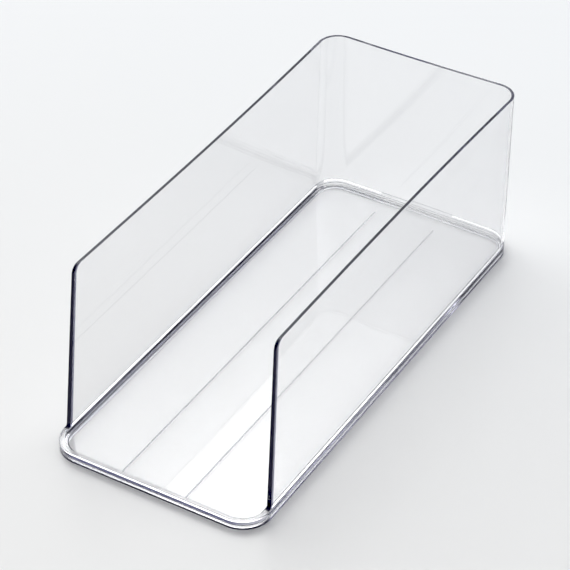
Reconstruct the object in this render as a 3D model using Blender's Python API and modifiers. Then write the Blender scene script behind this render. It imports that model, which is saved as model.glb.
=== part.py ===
"""Clear plastic magazine rack: a U-shaped wall standing on the rim of a shallow base tray.

Metres, +Z up, +X to the right, -Y towards the open front. The origin is the middle of the
base, on the surface that the rack stands on.
"""

import math

import bmesh
import bpy

COLLECTION_NAME = "magazine_rack"

# Base: a foot ring, a rim above it, and a floor plate with two thin ribs inside the rim.
BASE_WIDTH = 0.108
BASE_LENGTH = 0.2462
BASE_CORNER_RADIUS = 0.014
GAP = 0.0003
MERGE_DISTANCE = 0.00001

BORDER_WIDTH = 0.0043
FOOT_RING_HEIGHT = 0.0027
FOOT_RING_ROUNDING = 0.0006

RIM_BOTTOM = FOOT_RING_HEIGHT + GAP
RIM_TOP = 0.0051
RIM_TOP_WIDTH = 0.0026
RIM_TOE_HEIGHT = 0.0002
RIM_OUTER_ROUNDING = 0.0010
RIM_LOWER_ROUNDING = 0.0005

FLOOR_TOP = 0.0027
FLOOR_THICKNESS = 0.0019
FLOOR_EDGE_ROUNDING = 0.0002

RIB_SPACING = 0.033
RIB_WIDTH = 0.0007
RIB_HEIGHT = 0.0005
RIB_BACK_CLEARANCE = 0.0105
RIB_ROUNDING = 0.00012

# Wall: its middle surface leans inwards at the sides and outwards at the back, and it is
# thinner at the top than at the foot. Towards the top each face sags inwards between the
# stiff upright corners.
WALL_FOOT = RIM_TOP + GAP
WALL_TOP = 0.0895
WALL_FOOT_HALF_WIDTH = 0.05245
WALL_TOP_HALF_WIDTH = 0.0500
WALL_FOOT_BACK = 0.12165
WALL_TOP_BACK = 0.1226
WALL_FOOT_CORNER = 0.012
WALL_TOP_CORNER = 0.0105
WALL_SIDE_SAG_BACK = 0.0022
WALL_SIDE_SAG_FRONT = 0.0010
WALL_BACK_SAG = 0.0009
WALL_FOOT_FRONT = -0.1083
WALL_TOP_FRONT = -0.0992
WALL_FRONT_CORNER = 0.004
WALL_FOOT_THICKNESS = 0.0021
WALL_TOP_THICKNESS = 0.0014
WALL_FLARE_THICKNESS = 0.0027
WALL_FLARE_HEIGHT = 0.0018
WALL_EDGE_ROUNDING = 0.0003

CORNER_STEPS = 8
SIDE_STEPS = 6
BACK_STEPS = 4
FRONT_CORNER_STEPS = 6
FLARE_STEPS = 3

CLEAR_PLASTIC = (0.86, 0.88, 0.90, 0.35)
RIM_PLASTIC = (0.80, 0.82, 0.87, 0.40)
RING_PLASTIC = (0.74, 0.76, 0.83, 0.40)
RIB_PLASTIC = (0.66, 0.68, 0.74, 0.50)


def clear_scene():
    """Remove every object, so that the script gives the same model each run."""
    for item in list(bpy.data.objects):
        bpy.data.objects.remove(item, do_unlink=True)


def new_collection(name):
    collection = bpy.data.collections.new(name)
    bpy.context.scene.collection.children.link(collection)
    return collection


def plastic(name, colour):
    """A clear gloss plastic with the given colour and alpha."""
    material = bpy.data.materials.new(name)
    material.use_nodes = True
    shader = material.node_tree.nodes["Principled BSDF"]
    shader.inputs["Base Color"].default_value = (*colour[:3], 1.0)
    shader.inputs["Alpha"].default_value = colour[3]
    shader.inputs["Roughness"].default_value = 0.05
    shader.inputs["Metallic"].default_value = 0.0
    shader.inputs["IOR"].default_value = 1.58
    material.diffuse_color = colour
    return material


def add_part(name, data, collection, colour, location=(0.0, 0.0, 0.0)):
    part = bpy.data.objects.new(name, data)
    part.location = location
    part.data.materials.append(plastic(name, colour))
    collection.objects.link(part)
    return part


def add_bevel(part, width, segments):
    bevel = part.modifiers.new("edge_rounding", "BEVEL")
    bevel.width = width
    bevel.segments = segments
    bevel.limit_method = "ANGLE"
    bevel.angle_limit = math.radians(40)


def smooth_shading(mesh):
    mesh.shade_smooth()
    mesh.set_sharp_from_angle(angle=math.radians(35))


def arc(centre_x, centre_y, radius, start, end, steps):
    """Points on an arc, in degrees, both ends included."""
    points = []
    for step in range(steps + 1):
        angle = math.radians(start + (end - start) * step / steps)
        points.append((centre_x + radius * math.cos(angle), centre_y + radius * math.sin(angle)))
    return points


def rounded_rectangle(half_x, half_y, radius, steps=CORNER_STEPS):
    """A closed outline round the origin, counter-clockwise."""
    outline = []
    for quarter, (side_x, side_y) in enumerate(((1, 1), (-1, 1), (-1, -1), (1, -1))):
        centre = (side_x * (half_x - radius), side_y * (half_y - radius))
        outline += arc(*centre, radius, quarter * 90, quarter * 90 + 90, steps)
    return outline


def base_outline(inset):
    """The base's outline, moved inwards by the given distance."""
    return rounded_rectangle(
        BASE_WIDTH / 2 - inset, BASE_LENGTH / 2 - inset, BASE_CORNER_RADIUS - inset
    )


def add_closed_spline(curve, outline):
    spline = curve.splines.new("POLY")
    spline.points.add(len(outline) - 1)
    for point, (x, y) in zip(spline.points, outline):
        point.co = (x, y, 0.0, 1.0)
    spline.use_cyclic_u = True


def flat_curve(name, outlines, thickness):
    """A filled 2D curve, as thick as given and centred on its own plane."""
    curve = bpy.data.curves.new(name, "CURVE")
    curve.dimensions = "2D"
    curve.fill_mode = "BOTH"
    curve.extrude = thickness / 2
    for outline in outlines:
        add_closed_spline(curve, outline)
    return curve


def add_flat_part(name, outlines, bottom, top, rounding, collection, colour):
    """A flat part with its long edges rounded."""
    curve = flat_curve(name, outlines, top - bottom)
    part = add_part(name, curve, collection, colour, (0.0, 0.0, (bottom + top) / 2))
    weld = part.modifiers.new("close_caps", "WELD")
    weld.merge_threshold = MERGE_DISTANCE
    add_bevel(part, rounding, 2)
    return part


def make_foot_ring(collection):
    """The lower bead: a flat ring that the rack stands on."""
    outlines = [base_outline(0.0), base_outline(BORDER_WIDTH)]
    add_flat_part(
        "foot_ring", outlines, 0.0, FOOT_RING_HEIGHT, FOOT_RING_ROUNDING, collection, RING_PLASTIC
    )


def rim_section():
    """The rim's section: distance in from the outer edge, and height."""
    rounding, lower = RIM_OUTER_ROUNDING, RIM_LOWER_ROUNDING
    slope_run = BORDER_WIDTH - RIM_TOP_WIDTH
    slope_rise = RIM_TOP - RIM_BOTTOM - RIM_TOE_HEIGHT
    section = arc(lower, RIM_BOTTOM + lower, lower, 270, 180, 2)
    section += arc(rounding, RIM_TOP - rounding, rounding, 180, 90, 4)
    for step in range(4):
        angle = math.radians(90 * step / 3)
        section.append(
            (BORDER_WIDTH - slope_run * math.cos(angle), RIM_TOP - slope_rise * math.sin(angle))
        )
    section.append((BORDER_WIDTH, RIM_BOTTOM))
    return section


def make_rim(collection):
    """The upper bead, which carries the wall and turns into a low lip across the front."""
    mesh = bpy.data.meshes.new("rim_bead")
    builder = bmesh.new()
    loops = []
    for inset, height in rim_section():
        loops.append([builder.verts.new((x, y, height)) for x, y in base_outline(inset)])
    for lower, upper in zip(loops, loops[1:] + loops[:1]):
        edges = []
        for loop in (lower, upper):
            for start, end in zip(loop, loop[1:] + loop[:1]):
                edge = builder.edges.get((start, end))
                edges.append(edge or builder.edges.new((start, end)))
        bmesh.ops.bridge_loops(builder, edges=edges)
    bmesh.ops.recalc_face_normals(builder, faces=builder.faces)
    builder.to_mesh(mesh)
    builder.free()
    smooth_shading(mesh)
    add_part("rim_bead", mesh, collection, RIM_PLASTIC)


def make_floor(collection):
    """The floor plate, inside the rim and clear of the surface below."""
    outline = base_outline(BORDER_WIDTH + GAP)
    add_flat_part(
        "floor_plate", [outline], FLOOR_TOP - FLOOR_THICKNESS, FLOOR_TOP,
        FLOOR_EDGE_ROUNDING, collection, CLEAR_PLASTIC,
    )


def make_ribs(collection):
    """Two thin ribs along the floor, from the front lip almost to the back wall."""
    front = -BASE_LENGTH / 2 + BORDER_WIDTH + GAP
    back = BASE_LENGTH / 2 - BORDER_WIDTH - RIB_BACK_CLEARANCE
    height = FLOOR_TOP + GAP + RIB_HEIGHT / 2
    for side, name in ((-1, "floor_rib_left"), (1, "floor_rib_right")):
        mesh = bpy.data.meshes.new(name)
        builder = bmesh.new()
        bmesh.ops.create_cube(builder, size=1.0)
        bmesh.ops.scale(builder, vec=(RIB_WIDTH, back - front, RIB_HEIGHT), verts=builder.verts)
        builder.to_mesh(mesh)
        builder.free()
        location = (side * RIB_SPACING / 2, (front + back) / 2, height)
        rib = add_part(name, mesh, collection, RIB_PLASTIC, location)
        add_bevel(rib, RIB_ROUNDING, 1)


def blend(start, end, share):
    return start + (end - start) * share


def wall_share(height):
    """0 at the wall's foot, 1 at its top edge."""
    return (height - WALL_FOOT) / (WALL_TOP - WALL_FOOT)


def wall_front(height):
    """Where the wall's front edge is at this height, with its top corner rounded."""
    front = blend(WALL_FOOT_FRONT, WALL_TOP_FRONT, wall_share(height))
    above_corner = max(0.0, height - (WALL_TOP - WALL_FRONT_CORNER))
    drop = math.sqrt(max(0.0, WALL_FRONT_CORNER ** 2 - above_corner ** 2))
    return front + WALL_FRONT_CORNER - drop


def wall_thickness(height):
    """The wall's thickness, with the flare that meets the rim."""
    thickness = blend(WALL_FOOT_THICKNESS, WALL_TOP_THICKNESS, wall_share(height))
    above_flare = min(1.0, (height - WALL_FOOT) / WALL_FLARE_HEIGHT)
    return thickness + (WALL_FLARE_THICKNESS - WALL_FOOT_THICKNESS) * (1.0 - above_flare) ** 2


def straight(start, end, steps):
    """Points along a straight stretch, without its ends."""
    return [
        (blend(start[0], end[0], step / steps), blend(start[1], end[1], step / steps))
        for step in range(1, steps)
    ]


def with_sag(x, y, share):
    """The point moved outwards by what the face sags less here than at its middle."""
    across = x / WALL_TOP_HALF_WIDTH
    along = y / WALL_TOP_BACK
    side_sag = WALL_SIDE_SAG_BACK if y > 0 else WALL_SIDE_SAG_FRONT
    back_move = WALL_BACK_SAG * across ** 2 * max(0.0, along)
    return x + across * side_sag * along ** 2 * share, y + back_move * share


def wall_path(height):
    """The wall's middle line at this height, from the left front end to the right one."""
    share = wall_share(height)
    half_width = blend(WALL_FOOT_HALF_WIDTH, WALL_TOP_HALF_WIDTH, share)
    back = blend(WALL_FOOT_BACK, WALL_TOP_BACK, share)
    radius = blend(WALL_FOOT_CORNER, WALL_TOP_CORNER, share)
    left_end = (-half_width, wall_front(height))
    left_corner = arc(radius - half_width, back - radius, radius, 180, 90, CORNER_STEPS)
    right_corner = arc(half_width - radius, back - radius, radius, 90, 0, CORNER_STEPS)
    right_end = (half_width, wall_front(height))
    path = [left_end, *straight(left_end, left_corner[0], SIDE_STEPS), *left_corner]
    path += straight(left_corner[-1], right_corner[0], BACK_STEPS)
    path += [*right_corner, *straight(right_corner[-1], right_end, SIDE_STEPS), right_end]
    return [with_sag(x, y, share) for x, y in path]


def wall_heights():
    """Heights of the wall's rows: close together in the flare and in the rounded corner."""
    heights = [WALL_FOOT + WALL_FLARE_HEIGHT * step / FLARE_STEPS for step in range(FLARE_STEPS)]
    heights.append(WALL_FOOT + WALL_FLARE_HEIGHT)
    corner_start = WALL_TOP - WALL_FRONT_CORNER
    heights.append((heights[-1] + corner_start) / 2)
    for step in range(FRONT_CORNER_STEPS + 1):
        angle = math.radians(90 * step / FRONT_CORNER_STEPS)
        heights.append(corner_start + WALL_FRONT_CORNER * math.sin(angle))
    return heights


def make_wall(collection):
    """The left side, back and right side in one piece, open at the front and the top."""
    mesh = bpy.data.meshes.new("wall_wrap")
    builder = bmesh.new()
    rows = []
    for height in wall_heights():
        rows.append([builder.verts.new((x, y, height)) for x, y in wall_path(height)])
    for lower, upper in zip(rows, rows[1:]):
        for column in range(len(lower) - 1):
            quad = (lower[column], lower[column + 1], upper[column + 1], upper[column])
            builder.faces.new(quad)
    bmesh.ops.recalc_face_normals(builder, faces=builder.faces)
    builder.to_mesh(mesh)
    builder.free()
    wall = add_part("wall_wrap", mesh, collection, CLEAR_PLASTIC)
    group = wall.vertex_groups.new(name="thickness")
    for vertex in mesh.vertices:
        share = wall_thickness(vertex.co.z) / WALL_FLARE_THICKNESS
        group.add([vertex.index], share, "REPLACE")
    shell = wall.modifiers.new("wall_thickness", "SOLIDIFY")
    shell.thickness = WALL_FLARE_THICKNESS
    shell.offset = 0.0
    shell.vertex_group = group.name
    add_bevel(wall, WALL_EDGE_ROUNDING, 2)


def main():
    clear_scene()
    collection = new_collection(COLLECTION_NAME)
    make_foot_ring(collection)
    make_rim(collection)
    make_floor(collection)
    make_ribs(collection)
    make_wall(collection)


main()
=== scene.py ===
"""Looks for the clear magazine rack: optically bonded clear plastic pieces in a pale studio."""

import math

import bmesh
import bpy
from mathutils import Matrix, Vector


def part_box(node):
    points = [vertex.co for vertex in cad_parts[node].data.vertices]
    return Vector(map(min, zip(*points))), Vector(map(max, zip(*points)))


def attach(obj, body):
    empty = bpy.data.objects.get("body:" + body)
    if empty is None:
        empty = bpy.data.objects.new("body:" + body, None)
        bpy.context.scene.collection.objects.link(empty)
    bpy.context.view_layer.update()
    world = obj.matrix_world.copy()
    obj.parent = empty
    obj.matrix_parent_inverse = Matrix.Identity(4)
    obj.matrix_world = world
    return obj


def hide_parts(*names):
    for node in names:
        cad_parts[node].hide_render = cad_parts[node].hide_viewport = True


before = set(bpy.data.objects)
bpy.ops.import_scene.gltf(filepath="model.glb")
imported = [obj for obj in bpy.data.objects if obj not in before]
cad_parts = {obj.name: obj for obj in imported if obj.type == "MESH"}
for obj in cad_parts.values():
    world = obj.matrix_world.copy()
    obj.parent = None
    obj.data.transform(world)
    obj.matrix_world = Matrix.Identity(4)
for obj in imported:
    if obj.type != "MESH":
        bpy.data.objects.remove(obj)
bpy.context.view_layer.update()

MM = 0.001

# Sizes read from the frame
wall_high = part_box("wall_wrap")[1]
rim_low, rim_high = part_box("rim_bead")
ring_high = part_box("foot_ring")[1]
floor_low, floor_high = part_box("floor_plate")
rib_low, rib_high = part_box("floor_rib_right")

# The pieces stay this far inside the frame's box, so that rounding errors can't take them out
BOX_MARGIN = 0.001 * MM
# Thickening the leaning wall raises its top edge by less than this
TOP_RISE = 0.03 * MM

HALF_WIDTH = rim_high.x - BOX_MARGIN
HALF_LENGTH = rim_high.y - BOX_MARGIN
SEAM = (ring_high.z + rim_low.z) / 2
RIM_TOP = rim_high.z
FLOOR_BOTTOM = floor_low.z
FLOOR_TOP = floor_high.z
WALL_TOP = wall_high.z - TOP_RISE

# A hair gap between faces that are bonded to each other
JOIN = 0.01 * MM
# Faces that reach less than this above a level lie on what is below it
JOIN_REACH = 1.5 * JOIN
# Points less than this below a level lie in it
LEVEL_MARGIN = 0.1 * JOIN

# Base section: a rim bead above a foot ring, with a fine groove between them
BASE_CORNER = 14.0 * MM
BORDER_WIDTH = 4.3 * MM
RIM_TOP_WIDTH = 2.6 * MM
TOE_WIDTH = 4.15 * MM
GROOVE_DEPTH = 0.35 * MM
GROOVE_HALF_HEIGHT = 0.4 * MM
FOOT_ROUNDING = 0.35 * MM
FOOT_INNER_ROUNDING = 0.5 * MM
WALL_INSET = 0.35 * MM
WALL_FOOT_ROUNDING = 0.02 * MM
LIP_OUTER_ROUNDING = 0.7 * MM
LIP_INNER_ROUNDING = 0.5 * MM
LIP_BLEND_LENGTH = 6.0 * MM
# The rim's inner slope: how far in and how far down its points are, as shares
RIM_SLOPE = ((0.25, 0.75), (0.5, 0.95))

# Ribs, low and rounded. They fade out at the back: distance from their end, share of the height
RIB_HEIGHT = 0.14 * MM
RIB_ROUNDING = 0.11 * MM
RIB_FADE = ((18 * MM, 1.0), (10 * MM, 0.8), (4 * MM, 0.4), (0.0, 0.06))

# Wall: middle surface, leaning and sagging as in the frame, with rounded edges
WALL_FOOT_HALF_WIDTH = 52.45 * MM
WALL_TOP_HALF_WIDTH = 50.0 * MM
WALL_FOOT_BACK = 121.65 * MM
WALL_TOP_BACK = 122.59 * MM
WALL_FOOT_CORNER = 12.0 * MM
WALL_TOP_CORNER = 10.5 * MM
WALL_SIDE_SAG_BACK = 2.2 * MM
WALL_SIDE_SAG_FRONT = 1.0 * MM
WALL_BACK_SAG = 0.9 * MM
WALL_FOOT_THICKNESS = 2.1 * MM
WALL_TOP_THICKNESS = 1.4 * MM
WALL_FRONT_FOOT = -108.3 * MM
WALL_FRONT_TOP = -99.2 * MM
WALL_FRONT_CORNER = 4.0 * MM
FLARE_HEIGHT = 1.4 * MM
FRONT_FILLET = 1.4 * MM
EDGE_ROUNDING = 0.55 * MM

# How many steps each stretch has
CORNER_STEPS = 24
SIDE_STEPS = 12
RIB_STEPS = 8
GROOVE_STEPS = 6
LIP_OUTER_STEPS = 6
LIP_INNER_STEPS = 4
FOOT_STEPS = 5
RIB_ROUNDING_STEPS = 3
FLARE_STEPS = 6
WALL_STEPS = 4
FRONT_CORNER_STEPS = 10
EDGE_ROUNDING_STEPS = 6
# Where a straight side's first and last points are, from the corners
STRAIGHT_START = 0.5 * MM

# Faces are marked with how strongly they take the painted shade colour, from 0 to 1: painted shade that
# stands in for the dark lines that light bent in the plastic gives its edges.
# The back side of the base, which stays clear, is where the outward direction's y is above this
BACK_SIDE = 0.5
# Painted shade on the wall: faint on its faces, a little more on the sides than on the back, and dark on the
# front edges and the strip beside them
WALL_SIDE_PAINTED_SHADE = 0.06
WALL_BACK_PAINTED_SHADE = 0.03
POST_PAINTED_SHADE = 1.0
POST_STRIP_PAINTED_SHADE = 0.95
POST_STRIP_WIDTH = 1.7 * MM
# Painted shade on the top edges: darker on the right than on the left, following how the light falls, and
# none along the back, which is lit from behind
TOP_EDGE_LEFT_PAINTED_SHADE = 0.7
TOP_EDGE_RIGHT_PAINTED_SHADE = 0.95
TOP_EDGE_BACK_PAINTED_SHADE = 0.0
TOP_EDGE_BAND_FOOT = WALL_TOP - 0.8 * MM
# Painted shade on the rim's outer band along the lip and sides, on the ring's lower outer side and on the
# ribs
LIP_PAINTED_SHADE = 1.0
LIP_BAND_TOP = 4.35 * MM
RIM_BAND_TOP = RIM_TOP - 0.1 * MM
RIM_SIDE_PAINTED_SHADE = 0.65
RING_SIDE_PAINTED_SHADE = 0.85
RING_FRONT_PAINTED_SHADE = 0.45
RING_BAND_TOP = 1.6 * MM
RIB_FRONT_PAINTED_SHADE = 0.7
RIB_BACK_PAINTED_SHADE = 0.5
# The power with which painted shade fades round a corner
CORNER_FADE = 4
# How much more large faces count than small ones in the shading, 50 being evenly
LARGE_FACE_WEIGHT = 100


# ---------------------------------------------------------------- plastic
PLASTIC_IOR = 1.58
BONDED_IOR = 1.0001
POLISH = 0.01
# Colours mixed by the edge mark: clear, and a dark painted shade standing in for the dark lines of bent
# light at the plastic's edges
NO_PAINTED_SHADE_COLOUR = (1.0, 1.0, 1.0, 1.0)
PAINTED_SHADE_COLOUR = (0.025, 0.025, 0.07, 1.0)
ABSORPTION_COLOUR = (0.955, 0.955, 0.965, 1.0)
ABSORPTION_DENSITY = 100.0
RIPPLE_SCALE = 35.0
RIPPLE_DETAIL = 2.0
RIPPLE_STRENGTH = 0.02
RIPPLE_DEPTH = 1.0 * MM


def clear_material(name):
    """Clear plastic. Bonded faces don't bend light, and marked faces take a painted shade that darkens the
    edges.
    """
    material = bpy.data.materials.new(name)
    material.use_nodes = True
    tree = material.node_tree
    shader = tree.nodes["Principled BSDF"]
    shader.inputs["Transmission Weight"].default_value = 1.0
    shader.inputs["Roughness"].default_value = POLISH
    shader.inputs["IOR"].default_value = PLASTIC_IOR

    # The edge mark says how much painted shade a face takes
    edge = tree.nodes.new("ShaderNodeAttribute")
    edge.attribute_name = "edge"
    painted_shade = tree.nodes.new("ShaderNodeMix")
    painted_shade.data_type = "RGBA"
    painted_shade.inputs["A"].default_value = NO_PAINTED_SHADE_COLOUR
    painted_shade.inputs["B"].default_value = PAINTED_SHADE_COLOUR
    tree.links.new(edge.outputs["Fac"], painted_shade.inputs["Factor"])
    tree.links.new(painted_shade.outputs["Result"], shader.inputs["Base Color"])

    bonded = tree.nodes.new("ShaderNodeAttribute")
    bonded.attribute_name = "bonded"
    bend = tree.nodes.new("ShaderNodeMapRange")
    bend.inputs["To Min"].default_value = PLASTIC_IOR
    bend.inputs["To Max"].default_value = BONDED_IOR
    tree.links.new(bonded.outputs["Fac"], bend.inputs["Value"])
    tree.links.new(bend.outputs["Result"], shader.inputs["IOR"])

    place = tree.nodes.new("ShaderNodeTexCoord")
    waves = tree.nodes.new("ShaderNodeTexNoise")
    waves.inputs["Scale"].default_value = RIPPLE_SCALE
    waves.inputs["Detail"].default_value = RIPPLE_DETAIL
    bump = tree.nodes.new("ShaderNodeBump")
    bump.inputs["Strength"].default_value = RIPPLE_STRENGTH
    bump.inputs["Distance"].default_value = RIPPLE_DEPTH
    tree.links.new(place.outputs["Object"], waves.inputs["Vector"])
    tree.links.new(waves.outputs["Fac"], bump.inputs["Height"])
    tree.links.new(bump.outputs["Normal"], shader.inputs["Normal"])

    volume = tree.nodes.new("ShaderNodeVolumeAbsorption")
    volume.inputs["Color"].default_value = ABSORPTION_COLOUR
    volume.inputs["Density"].default_value = ABSORPTION_DENSITY
    tree.links.new(volume.outputs["Volume"], tree.nodes["Material Output"].inputs["Volume"])
    return material


# ---------------------------------------------------------------- shapes
def blend(start, end, share):
    return start + (end - start) * share


def arc(centre, radius_a, radius_b, start, end, steps):
    """Points on an elliptical arc, in degrees, both ends included."""
    points = []
    for step in range(steps + 1):
        angle = math.radians(blend(start, end, step / steps))
        points.append((centre[0] + radius_a * math.cos(angle), centre[1] + radius_b * math.sin(angle)))
    return points


def no_painted_shade(_face):
    return 0.0


def finish_piece(name, builder, plastic, node, bonded, painted_shade=no_painted_shade, smooth=True):
    """Turn the mesh into a piece, with its faces marked as bonded and with how much painted shade they take.
    """
    bmesh.ops.recalc_face_normals(builder, faces=builder.faces)
    bonded_marks = [float(bonded(face)) for face in builder.faces]
    painted_shade_marks = [0.0 if mark else painted_shade(face) for face, mark in zip(builder.faces, bonded_marks)]
    for face in builder.faces:
        face.material_index = 0
    mesh = bpy.data.meshes.new(name)
    builder.to_mesh(mesh)
    builder.free()
    mesh.materials.append(plastic)
    mesh.attributes.new("bonded", "FLOAT", "FACE").data.foreach_set("value", bonded_marks)
    mesh.attributes.new("edge", "FLOAT", "FACE").data.foreach_set("value", painted_shade_marks)
    piece = bpy.data.objects.new(name, mesh)
    bpy.context.scene.collection.objects.link(piece)
    if smooth:
        mesh.shade_smooth()
        normals = piece.modifiers.new("flat_faces_stay_flat", "WEIGHTED_NORMAL")
        normals.mode = "FACE_AREA"
        normals.weight = LARGE_FACE_WEIGHT
    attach(piece, "root")
    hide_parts(node)


def outward(point, core_x, core_y):
    """The level direction that a rounded rectangle with this core faces at the point."""
    x = math.copysign(max(0.0, abs(point.x) - core_x), point.x)
    y = math.copysign(max(0.0, abs(point.y) - core_y), point.y)
    return Vector((x, y))


def base_outward(point):
    return outward(point, HALF_WIDTH - BASE_CORNER, HALF_LENGTH - BASE_CORNER)


def is_outer(point):
    """Whether the point is nearer the base's outer edge than its inner one."""
    return BASE_CORNER - base_outward(point).length < RIM_TOP_WIDTH / 2


def base_stations():
    """Places round the base's outer edge: position and inward direction."""
    stations = []
    for quarter, (side_x, side_y) in enumerate(((1, 1), (-1, 1), (-1, -1), (1, -1))):
        centre = Vector((side_x * (HALF_WIDTH - BASE_CORNER), side_y * (HALF_LENGTH - BASE_CORNER)))
        corner = []
        for step in range(CORNER_STEPS + 1):
            angle = math.radians(quarter * 90 + 90 * step / CORNER_STEPS)
            out = Vector((math.cos(angle), math.sin(angle)))
            corner.append((centre + out * BASE_CORNER, -out))
        ends = []
        for point, inward in (corner[0], corner[-1]):
            along = Vector((-side_x, 0)) if abs(inward.y) > abs(inward.x) else Vector((0, -side_y))
            ends.append((point + along * STRAIGHT_START, inward))
        stations += [ends[0], *corner, ends[1]]
    return stations


def sweep(builder, section_at):
    """A closed ring: section_at gives (inset, height) points at each station of the base."""
    loops = []
    for point, inward in base_stations():
        loops.append([
            builder.verts.new((*(point + inward * inset), height))
            for inset, height in section_at(point)
        ])
    for here, there in zip(loops, loops[1:] + loops[:1]):
        for index in range(len(here)):
            after = (index + 1) % len(here)
            builder.faces.new((here[index], here[after], there[after], there[index]))


def heights_of(face):
    return [vertex.co.z for vertex in face.verts]


def wall_end():
    """Where the fillet at the foot of the wall's front edge ends."""
    return WALL_FRONT_FOOT - FRONT_FILLET


def lip_share(y):
    """0 under the wall, 1 along the front lip."""
    share = min(1.0, max(0.0, (wall_end() - y) / LIP_BLEND_LENGTH))
    return share * share * (3 - 2 * share)


def rim_section(point):
    lip = lip_share(point.y)
    outer = blend(WALL_INSET, LIP_OUTER_ROUNDING, lip)
    inner = blend(WALL_FOOT_ROUNDING, LIP_INNER_ROUNDING, lip)
    bottom = SEAM + JOIN
    groove_centre = (GROOVE_DEPTH, bottom + GROOVE_HALF_HEIGHT)
    section = arc(groove_centre, GROOVE_DEPTH, GROOVE_HALF_HEIGHT, 270, 180, GROOVE_STEPS)
    section.append((0.0, LIP_BAND_TOP))
    section += arc((outer, RIM_TOP - outer), outer, outer, 180, 90, LIP_OUTER_STEPS)
    section += arc((RIM_TOP_WIDTH - inner, RIM_TOP - inner), inner, inner, 90, 0, LIP_INNER_STEPS)
    for share_in, share_down in RIM_SLOPE:
        section.append((blend(RIM_TOP_WIDTH, TOE_WIDTH, share_in), blend(RIM_TOP - inner, SEAM, share_down)))
    section.append((TOE_WIDTH, bottom))
    return section


def rim_bonded(face):
    """The underside, on the foot ring, and the top, under the wall, except along the front lip."""
    on_top = min(heights_of(face)) > RIM_TOP - LEVEL_MARGIN
    on_bottom = max(heights_of(face)) < SEAM + JOIN_REACH
    return (on_top or on_bottom) and face.calc_center_median().y > wall_end()


def rim_painted_shade(face):
    """Painted shade on the outer side: all of it along the sides, a band along the lip, and none along the
    back.
    """
    centre = face.calc_center_median()
    out = base_outward(centre).normalized()
    if not is_outer(centre) or out.y > BACK_SIDE or centre.z > RIM_BAND_TOP:
        return 0.0
    lip_painted_shade = LIP_PAINTED_SHADE if centre.z < LIP_BAND_TOP else 0.0
    return min(1.0, max(0.0, -out.y) * lip_painted_shade + out.x ** CORNER_FADE * RIM_SIDE_PAINTED_SHADE)


def make_rim(plastic):
    builder = bmesh.new()
    sweep(builder, rim_section)
    finish_piece("clear_rim", builder, plastic, "rim_bead", rim_bonded, rim_painted_shade)


def ring_section(_point):
    section = arc((FOOT_ROUNDING, FOOT_ROUNDING), FOOT_ROUNDING, FOOT_ROUNDING, 270, 180, FOOT_STEPS)
    section.append((0.0, RING_BAND_TOP))
    groove_centre = (GROOVE_DEPTH, SEAM - GROOVE_HALF_HEIGHT)
    section += arc(groove_centre, GROOVE_DEPTH, GROOVE_HALF_HEIGHT, 180, 90, GROOVE_STEPS)
    section += [(TOE_WIDTH, SEAM), (BORDER_WIDTH, FLOOR_TOP), (BORDER_WIDTH, FLOOR_BOTTOM)]
    inner = FOOT_INNER_ROUNDING
    section += arc((BORDER_WIDTH - inner, inner), inner, inner, 0, -90, FOOT_STEPS)
    return section


def ring_bonded(face):
    """The top, under the rim except along the lip, and the side against the floor plate."""
    lowest, highest = min(heights_of(face)), max(heights_of(face))
    centre = face.calc_center_median()
    under_rim = lowest > SEAM - JOIN and centre.y > wall_end()
    on_floor_edge = lowest > FLOOR_BOTTOM - JOIN and highest < FLOOR_TOP + JOIN
    return under_rim or (on_floor_edge and not is_outer(centre))


def ring_painted_shade(face):
    """Painted shade on the lower part of the outer side, lighter at the front and clear along the back."""
    centre = face.calc_center_median()
    out = base_outward(centre).normalized()
    if not is_outer(centre) or out.y > BACK_SIDE or centre.z > RING_BAND_TOP:
        return 0.0
    return blend(RING_SIDE_PAINTED_SHADE, RING_FRONT_PAINTED_SHADE, max(0.0, -out.y))


def make_ring(plastic):
    builder = bmesh.new()
    sweep(builder, ring_section)
    finish_piece("clear_foot_ring", builder, plastic, "foot_ring", ring_bonded, ring_painted_shade)


def floor_bonded(face):
    """The edge, against the foot ring, and the strips under the ribs."""
    centre = face.calc_center_median()
    half_rib = (rib_high.x - rib_low.x) / 2
    across = abs(abs(centre.x) - (rib_high.x + rib_low.x) / 2)
    under_rib = across < half_rib and rib_low.y < centre.y < rib_high.y and centre.z > FLOOR_TOP - JOIN
    on_edge = FLOOR_BOTTOM + JOIN < centre.z < FLOOR_TOP - JOIN
    return under_rib or on_edge


def make_floor(plastic):
    builder = bmesh.new()
    outline = [point + inward * (BORDER_WIDTH + JOIN) for point, inward in base_stations()]
    lower, upper = (
        [builder.verts.new((*point, height)) for point in outline]
        for height in (FLOOR_BOTTOM, FLOOR_TOP)
    )
    for index in range(len(lower)):
        after = (index + 1) % len(lower)
        builder.faces.new((lower[index], lower[after], upper[after], upper[index]))
    builder.faces.new(lower)
    builder.faces.new(upper)
    cuts = [(Vector((side * x, 0, 0)), Vector((1, 0, 0)))
            for side in (-1, 1) for x in (rib_low.x, rib_high.x)]
    cuts += [(Vector((0, y, 0)), Vector((0, 1, 0))) for y in (rib_low.y, rib_high.y)]
    for place, normal in cuts:
        everything = builder.verts[:] + builder.edges[:] + builder.faces[:]
        bmesh.ops.bisect_plane(builder, geom=everything, plane_co=place, plane_no=normal)
    finish_piece("clear_floor", builder, plastic, "floor_plate", floor_bonded, smooth=False)


def rib_bonded(face):
    """The underside, on the floor plate."""
    return max(heights_of(face)) < FLOOR_TOP + JOIN_REACH


def rib_painted_shade(face):
    """Painted shade, a little darker at the front than at the back."""
    from_front = (face.calc_center_median().y - rib_low.y) / (rib_high.y - rib_low.y)
    return blend(RIB_FRONT_PAINTED_SHADE, RIB_BACK_PAINTED_SHADE, from_front)


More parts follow.
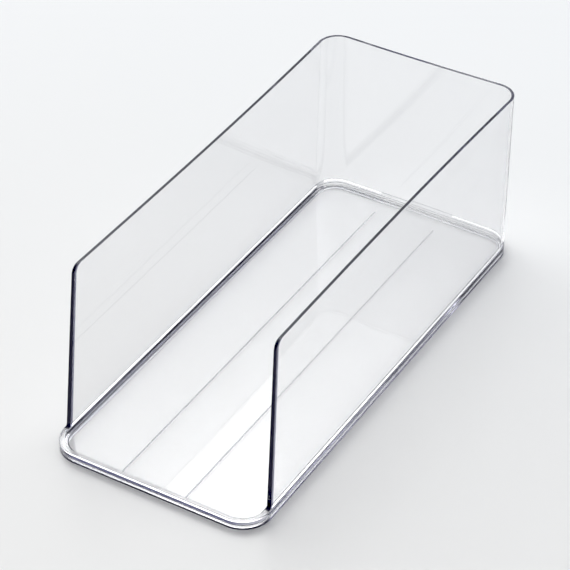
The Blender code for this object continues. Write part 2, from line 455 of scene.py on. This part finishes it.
def make_rib(name, node, side, plastic):
    builder = bmesh.new()
    half = (rib_high.x - rib_low.x) / 2
    middle = side * (rib_high.x + rib_low.x) / 2
    fade_start = rib_high.y - RIB_FADE[0][0]
    stations = [(blend(rib_low.y, fade_start, step / RIB_STEPS), 1.0) for step in range(RIB_STEPS)]
    stations += [(rib_high.y - before, share) for before, share in RIB_FADE]
    loops = []
    for y, share in stations:
        top = FLOOR_TOP + RIB_HEIGHT * share
        radius = RIB_ROUNDING * share
        section = [(-half, FLOOR_TOP + JOIN)]
        section += arc((-half + radius, top - radius), radius, radius, 180, 90, RIB_ROUNDING_STEPS)
        section += arc((half - radius, top - radius), radius, radius, 90, 0, RIB_ROUNDING_STEPS)
        section.append((half, FLOOR_TOP + JOIN))
        loops.append([builder.verts.new((middle + x, y, z)) for x, z in section])
    for here, there in zip(loops, loops[1:]):
        for index in range(len(here)):
            after = (index + 1) % len(here)
            builder.faces.new((here[index], here[after], there[after], there[index]))
    builder.faces.new(loops[0])
    builder.faces.new(loops[-1])
    finish_piece(name, builder, plastic, node, rib_bonded, rib_painted_shade)


# The material number that the faces of the wall's free edges have while it is made
FREE_EDGE = 2


def wall_share(height):
    """0 at the wall's foot, 1 at its top edge."""
    return (height - RIM_TOP) / (WALL_TOP - RIM_TOP)


def wall_thickness(height):
    thickness = blend(WALL_FOOT_THICKNESS, WALL_TOP_THICKNESS, wall_share(height))
    low = min(1.0, (height - RIM_TOP) / FLARE_HEIGHT)
    flare = (RIM_TOP_WIDTH - WALL_INSET) - WALL_FOOT_THICKNESS
    return thickness + flare * (1.0 - math.sqrt(1.0 - (1.0 - low) ** 2))


def wall_front(height):
    """Where the wall's leaning front edge is, with a rounded corner above and a fillet below."""
    front = blend(WALL_FRONT_FOOT, WALL_FRONT_TOP, wall_share(height))
    above = max(0.0, height - (WALL_TOP - WALL_FRONT_CORNER))
    front += WALL_FRONT_CORNER - math.sqrt(max(0.0, WALL_FRONT_CORNER ** 2 - above ** 2))
    below = max(0.0, FRONT_FILLET - (height - RIM_TOP))
    front -= FRONT_FILLET - math.sqrt(max(0.0, FRONT_FILLET ** 2 - below ** 2))
    return front


def straight(start, end, steps):
    """Points along a straight stretch, without its ends."""
    shares = [step / steps for step in range(1, steps)]
    return [(blend(start[0], end[0], share), blend(start[1], end[1], share)) for share in shares]


def with_sag(x, y, share):
    """The point moved outwards by what the face sags less here than at its middle."""
    across = x / WALL_TOP_HALF_WIDTH
    along = y / WALL_TOP_BACK
    side_sag = WALL_SIDE_SAG_BACK if y > 0 else WALL_SIDE_SAG_FRONT
    back_move = WALL_BACK_SAG * across ** 2 * max(0.0, along)
    return x + across * side_sag * along ** 2 * share, y + back_move * share


def wall_line(height):
    """The wall's middle line at this height, from the left front end to the right one."""
    share = wall_share(height)
    half_width = blend(WALL_FOOT_HALF_WIDTH, WALL_TOP_HALF_WIDTH, share)
    back = blend(WALL_FOOT_BACK, WALL_TOP_BACK, share)
    radius = blend(WALL_FOOT_CORNER, WALL_TOP_CORNER, share)
    front = wall_front(height)
    left_end = (-half_width, front)
    left_corner = arc((radius - half_width, back - radius), radius, radius, 180, 90, CORNER_STEPS)
    right_corner = arc((half_width - radius, back - radius), radius, radius, 90, 0, CORNER_STEPS)
    right_end = (half_width, front)
    left_strip = (-half_width, front + POST_STRIP_WIDTH)
    right_strip = (half_width, front + POST_STRIP_WIDTH)
    line = [left_end, left_strip, *straight(left_strip, left_corner[0], SIDE_STEPS), *left_corner]
    line += straight(left_corner[-1], right_corner[0], SIDE_STEPS)
    line += [*right_corner, *straight(right_corner[-1], right_strip, SIDE_STEPS), right_strip, right_end]
    return [with_sag(x, y, share) for x, y in line]


def wall_heights():
    """Heights of the wall's rows: close together in the flare and in the rounded corner."""
    flare_turn = math.radians(90 / FLARE_STEPS)
    corner_turn = math.radians(90 / FRONT_CORNER_STEPS)
    corner_foot = WALL_TOP - WALL_FRONT_CORNER
    heights = [
        RIM_TOP + FLARE_HEIGHT * (1 - math.cos(flare_turn * step))
        for step in range(FLARE_STEPS + 1)
    ]
    heights += [blend(heights[-1], corner_foot, step / WALL_STEPS) for step in range(1, WALL_STEPS)]
    heights += [
        corner_foot + WALL_FRONT_CORNER * math.sin(corner_turn * step)
        for step in range(FRONT_CORNER_STEPS + 1)
    ]
    return heights


def wall_sheet():
    """The wall's middle surface as a sheet, with its free edges marked for rounding."""
    builder = bmesh.new()
    rows = [[builder.verts.new((x, y, z)) for x, y in wall_line(z)] for z in wall_heights()]
    for lower, upper in zip(rows, rows[1:]):
        for index in range(len(lower) - 1):
            builder.faces.new((lower[index], lower[index + 1], upper[index + 1], upper[index]))
    bmesh.ops.recalc_face_normals(builder, faces=builder.faces)
    weight = builder.edges.layers.float.new("bevel_weight_edge")
    for edge in builder.edges:
        on_foot = all(vertex.co.z < RIM_TOP + JOIN for vertex in edge.verts)
        edge[weight] = float(edge.is_boundary and not on_foot)
    mesh = bpy.data.meshes.new("wall_sheet")
    builder.to_mesh(mesh)
    builder.free()
    for _ in range(FREE_EDGE + 1):
        mesh.materials.append(None)
    return mesh


def wall_painted_shade(face):
    """Painted shade: dark front edges, a top edge that is lightest along the back, and faintly shaded sides.
    """
    centre = face.calc_center_median()
    out = outward(centre, WALL_TOP_HALF_WIDTH - WALL_TOP_CORNER, WALL_TOP_BACK - WALL_TOP_CORNER)
    out = Vector((out.x, max(0.0, out.y))).normalized()
    if face.material_index != FREE_EDGE and centre.y < wall_front(centre.z) + POST_STRIP_WIDTH:
        return POST_STRIP_PAINTED_SHADE
    if face.material_index != FREE_EDGE:
        return blend(WALL_BACK_PAINTED_SHADE, WALL_SIDE_PAINTED_SHADE, abs(out.x))
    if centre.z < TOP_EDGE_BAND_FOOT:
        return POST_PAINTED_SHADE
    side_painted_shade = TOP_EDGE_LEFT_PAINTED_SHADE if centre.x < 0.0 else TOP_EDGE_RIGHT_PAINTED_SHADE
    return blend(side_painted_shade, TOP_EDGE_BACK_PAINTED_SHADE, out.y ** CORNER_FADE)


def wall_bonded(face):
    """The foot, on the rim."""
    return max(heights_of(face)) < RIM_TOP + JOIN_REACH


def make_wall(plastic):
    """Left side, back and right side in one sheet that is thinner at the top, with rounded edges."""
    mesh = wall_sheet()
    sheet = bpy.data.objects.new("wall_sheet", mesh)
    bpy.context.scene.collection.objects.link(sheet)
    group = sheet.vertex_groups.new(name="thickness")
    thickest = RIM_TOP_WIDTH - WALL_INSET
    for vertex in mesh.vertices:
        group.add([vertex.index], wall_thickness(vertex.co.z) / thickest, "REPLACE")
    shell = sheet.modifiers.new("thickness", "SOLIDIFY")
    shell.thickness = thickest
    shell.offset = 0.0
    shell.vertex_group = group.name
    shell.material_offset_rim = FREE_EDGE
    rounding = sheet.modifiers.new("rounding", "BEVEL")
    rounding.width = EDGE_ROUNDING
    rounding.segments = EDGE_ROUNDING_STEPS
    rounding.limit_method = "WEIGHT"
    bpy.context.view_layer.update()
    graph = bpy.context.evaluated_depsgraph_get()
    solid = bpy.data.meshes.new_from_object(sheet.evaluated_get(graph), depsgraph=graph)
    bpy.data.objects.remove(sheet)
    builder = bmesh.new()
    builder.from_mesh(solid)
    bpy.data.meshes.remove(solid)
    for vertex in builder.verts:
        if vertex.co.z < RIM_TOP + JOIN:
            vertex.co.z = RIM_TOP + JOIN
    finish_piece("clear_wall", builder, plastic, "wall_wrap", wall_bonded, wall_painted_shade)


# ---------------------------------------------------------------- studio
# The table lies a hair below the foot ring. Its colour gets lighter and cooler between two places in y, a
# painted falloff of the light from the back.
TABLE_HALF_SIZE = 6.0
TABLE_DROP = 0.03 * MM
TABLE_ROUGHNESS = 0.28
TABLE_SPECULAR = 0.25
TABLE_FRONT = -0.25
TABLE_BACK = 0.40
TABLE_FRONT_PAINTED_SHADE_COLOUR = (0.79, 0.78, 0.765, 1.0)
TABLE_BACK_PAINTED_LIGHT_COLOUR = (0.885, 0.89, 0.895, 1.0)


def make_table():
    """A wide pale table whose colour gets a little lighter and cooler towards the back, a painted falloff of
    the light.
    """
    builder = bmesh.new()
    bmesh.ops.create_grid(builder, x_segments=1, y_segments=1, size=TABLE_HALF_SIZE)
    mesh = bpy.data.meshes.new("table")
    builder.to_mesh(mesh)
    builder.free()
    material = bpy.data.materials.new("table")
    material.use_nodes = True
    tree = material.node_tree
    shader = tree.nodes["Principled BSDF"]
    shader.inputs["Roughness"].default_value = TABLE_ROUGHNESS
    shader.inputs["Specular IOR Level"].default_value = TABLE_SPECULAR
    place = tree.nodes.new("ShaderNodeTexCoord")
    split = tree.nodes.new("ShaderNodeSeparateXYZ")
    share = tree.nodes.new("ShaderNodeMapRange")
    share.interpolation_type = "SMOOTHSTEP"
    share.inputs["From Min"].default_value = TABLE_FRONT
    share.inputs["From Max"].default_value = TABLE_BACK
    colour = tree.nodes.new("ShaderNodeMix")
    colour.data_type = "RGBA"
    colour.inputs["A"].default_value = TABLE_FRONT_PAINTED_SHADE_COLOUR
    colour.inputs["B"].default_value = TABLE_BACK_PAINTED_LIGHT_COLOUR
    tree.links.new(place.outputs["Object"], split.inputs["Vector"])
    tree.links.new(split.outputs["Y"], share.inputs["Value"])
    tree.links.new(share.outputs["Result"], colour.inputs["Factor"])
    tree.links.new(colour.outputs["Result"], shader.inputs["Base Color"])
    mesh.materials.append(material)
    table = bpy.data.objects.new("table", mesh)
    table.location.z = -TABLE_DROP
    bpy.context.scene.collection.objects.link(table)


# Camera: degrees, millimetres for the lens, and metres for where it stands
AZIMUTH = 31.035
ELEVATION = 37.515
ROLL = -0.141
LENS = 152.31
SENSOR_WIDTH = 36.0
DISTANCE = 1.1349
MOVED_LEFT = 0.0038
MOVED_UP = 0.0271


def make_camera():
    azimuth, elevation, roll = (math.radians(angle) for angle in (AZIMUTH, ELEVATION, ROLL))
    back = Vector((
        math.sin(azimuth) * math.cos(elevation),
        -math.cos(azimuth) * math.cos(elevation),
        math.sin(elevation),
    ))
    right = (-back).cross(Vector((0, 0, 1))).normalized()
    up = right.cross(-back)
    side = right * math.cos(roll) + up * math.sin(roll)
    top = up * math.cos(roll) - right * math.sin(roll)
    data = bpy.data.cameras.new("camera")
    data.sensor_width = SENSOR_WIDTH
    data.lens = LENS
    camera = bpy.data.objects.new("camera", data)
    axes = Matrix((side, top, back)).transposed().to_4x4()
    place = back * DISTANCE - side * MOVED_LEFT + top * MOVED_UP
    camera.matrix_world = Matrix.Translation(place) @ axes
    bpy.context.scene.collection.objects.link(camera)
    bpy.context.scene.camera = camera


SKY_COLOUR = (0.97, 0.985, 1.0, 1.0)
SKY_STRENGTH = 0.55
# Direction, sharpness and strength: a softbox high up behind, a broad one on the left, a pale backdrop
GLOWS = (
    (Vector((-0.317, 0.528, 0.788)), 58.0, 4.2),
    (Vector((-0.78, 0.28, 0.56)), 12.0, 4.0),
    (Vector((0.25, 0.96, 0.08)), 6.0, 0.5),
)


def math_step(tree, operation, value, other=None):
    """One math node, whose second input is a number or another node's output."""
    step = tree.nodes.new("ShaderNodeMath")
    step.operation = operation
    tree.links.new(value, step.inputs[0])
    if isinstance(other, float):
        step.inputs[1].default_value = other
    elif other:
        tree.links.new(other, step.inputs[1])
    return step.outputs["Value"]


def make_world():
    """Soft light all round, with glows that fade smoothly into it."""
    world = bpy.data.worlds.new("studio")
    bpy.context.scene.world = world
    world.use_nodes = True
    tree = world.node_tree
    sky = tree.nodes["Background"]
    sky.inputs["Color"].default_value = SKY_COLOUR
    place = tree.nodes.new("ShaderNodeTexCoord")
    total = SKY_STRENGTH
    for direction, sharpness, strength in GLOWS:
        towards = tree.nodes.new("ShaderNodeVectorMath")
        towards.operation = "DOT_PRODUCT"
        towards.inputs[1].default_value = direction.normalized()
        tree.links.new(place.outputs["Generated"], towards.inputs[0])
        value = math_step(tree, "SUBTRACT", towards.outputs["Value"], 1.0)
        value = math_step(tree, "MULTIPLY", value, sharpness)
        value = math_step(tree, "EXPONENT", value)
        value = math_step(tree, "MULTIPLY", value, strength)
        total = math_step(tree, "ADD", value, total)
    tree.links.new(total, sky.inputs["Strength"])


BLACK_LEVEL = (0.035, 0.036, 0.022)
MOST_BOUNCES = 40
MOST_BOUNCES_OF_A_KIND = 32


def set_view():
    """A touch of extra contrast, and enough bounces for light to get through the plastic."""
    view = bpy.context.scene.view_settings
    view.view_transform = "Standard"
    view.use_curve_mapping = True
    view.curve_mapping.black_level = BLACK_LEVEL
    view.curve_mapping.update()
    rays = bpy.context.scene.cycles
    rays.max_bounces = MOST_BOUNCES
    rays.glossy_bounces = MOST_BOUNCES_OF_A_KIND
    rays.transmission_bounces = MOST_BOUNCES_OF_A_KIND
    rays.transparent_max_bounces = MOST_BOUNCES_OF_A_KIND
    rays.blur_glossy = 0.0


clear_plastic = clear_material("clear_plastic")
make_rim(clear_plastic)
make_ring(clear_plastic)
make_floor(clear_plastic)
make_rib("clear_rib_left", "floor_rib_left", -1, clear_plastic)
make_rib("clear_rib_right", "floor_rib_right", 1, clear_plastic)
make_wall(clear_plastic)
make_table()
make_camera()
make_world()
set_view()
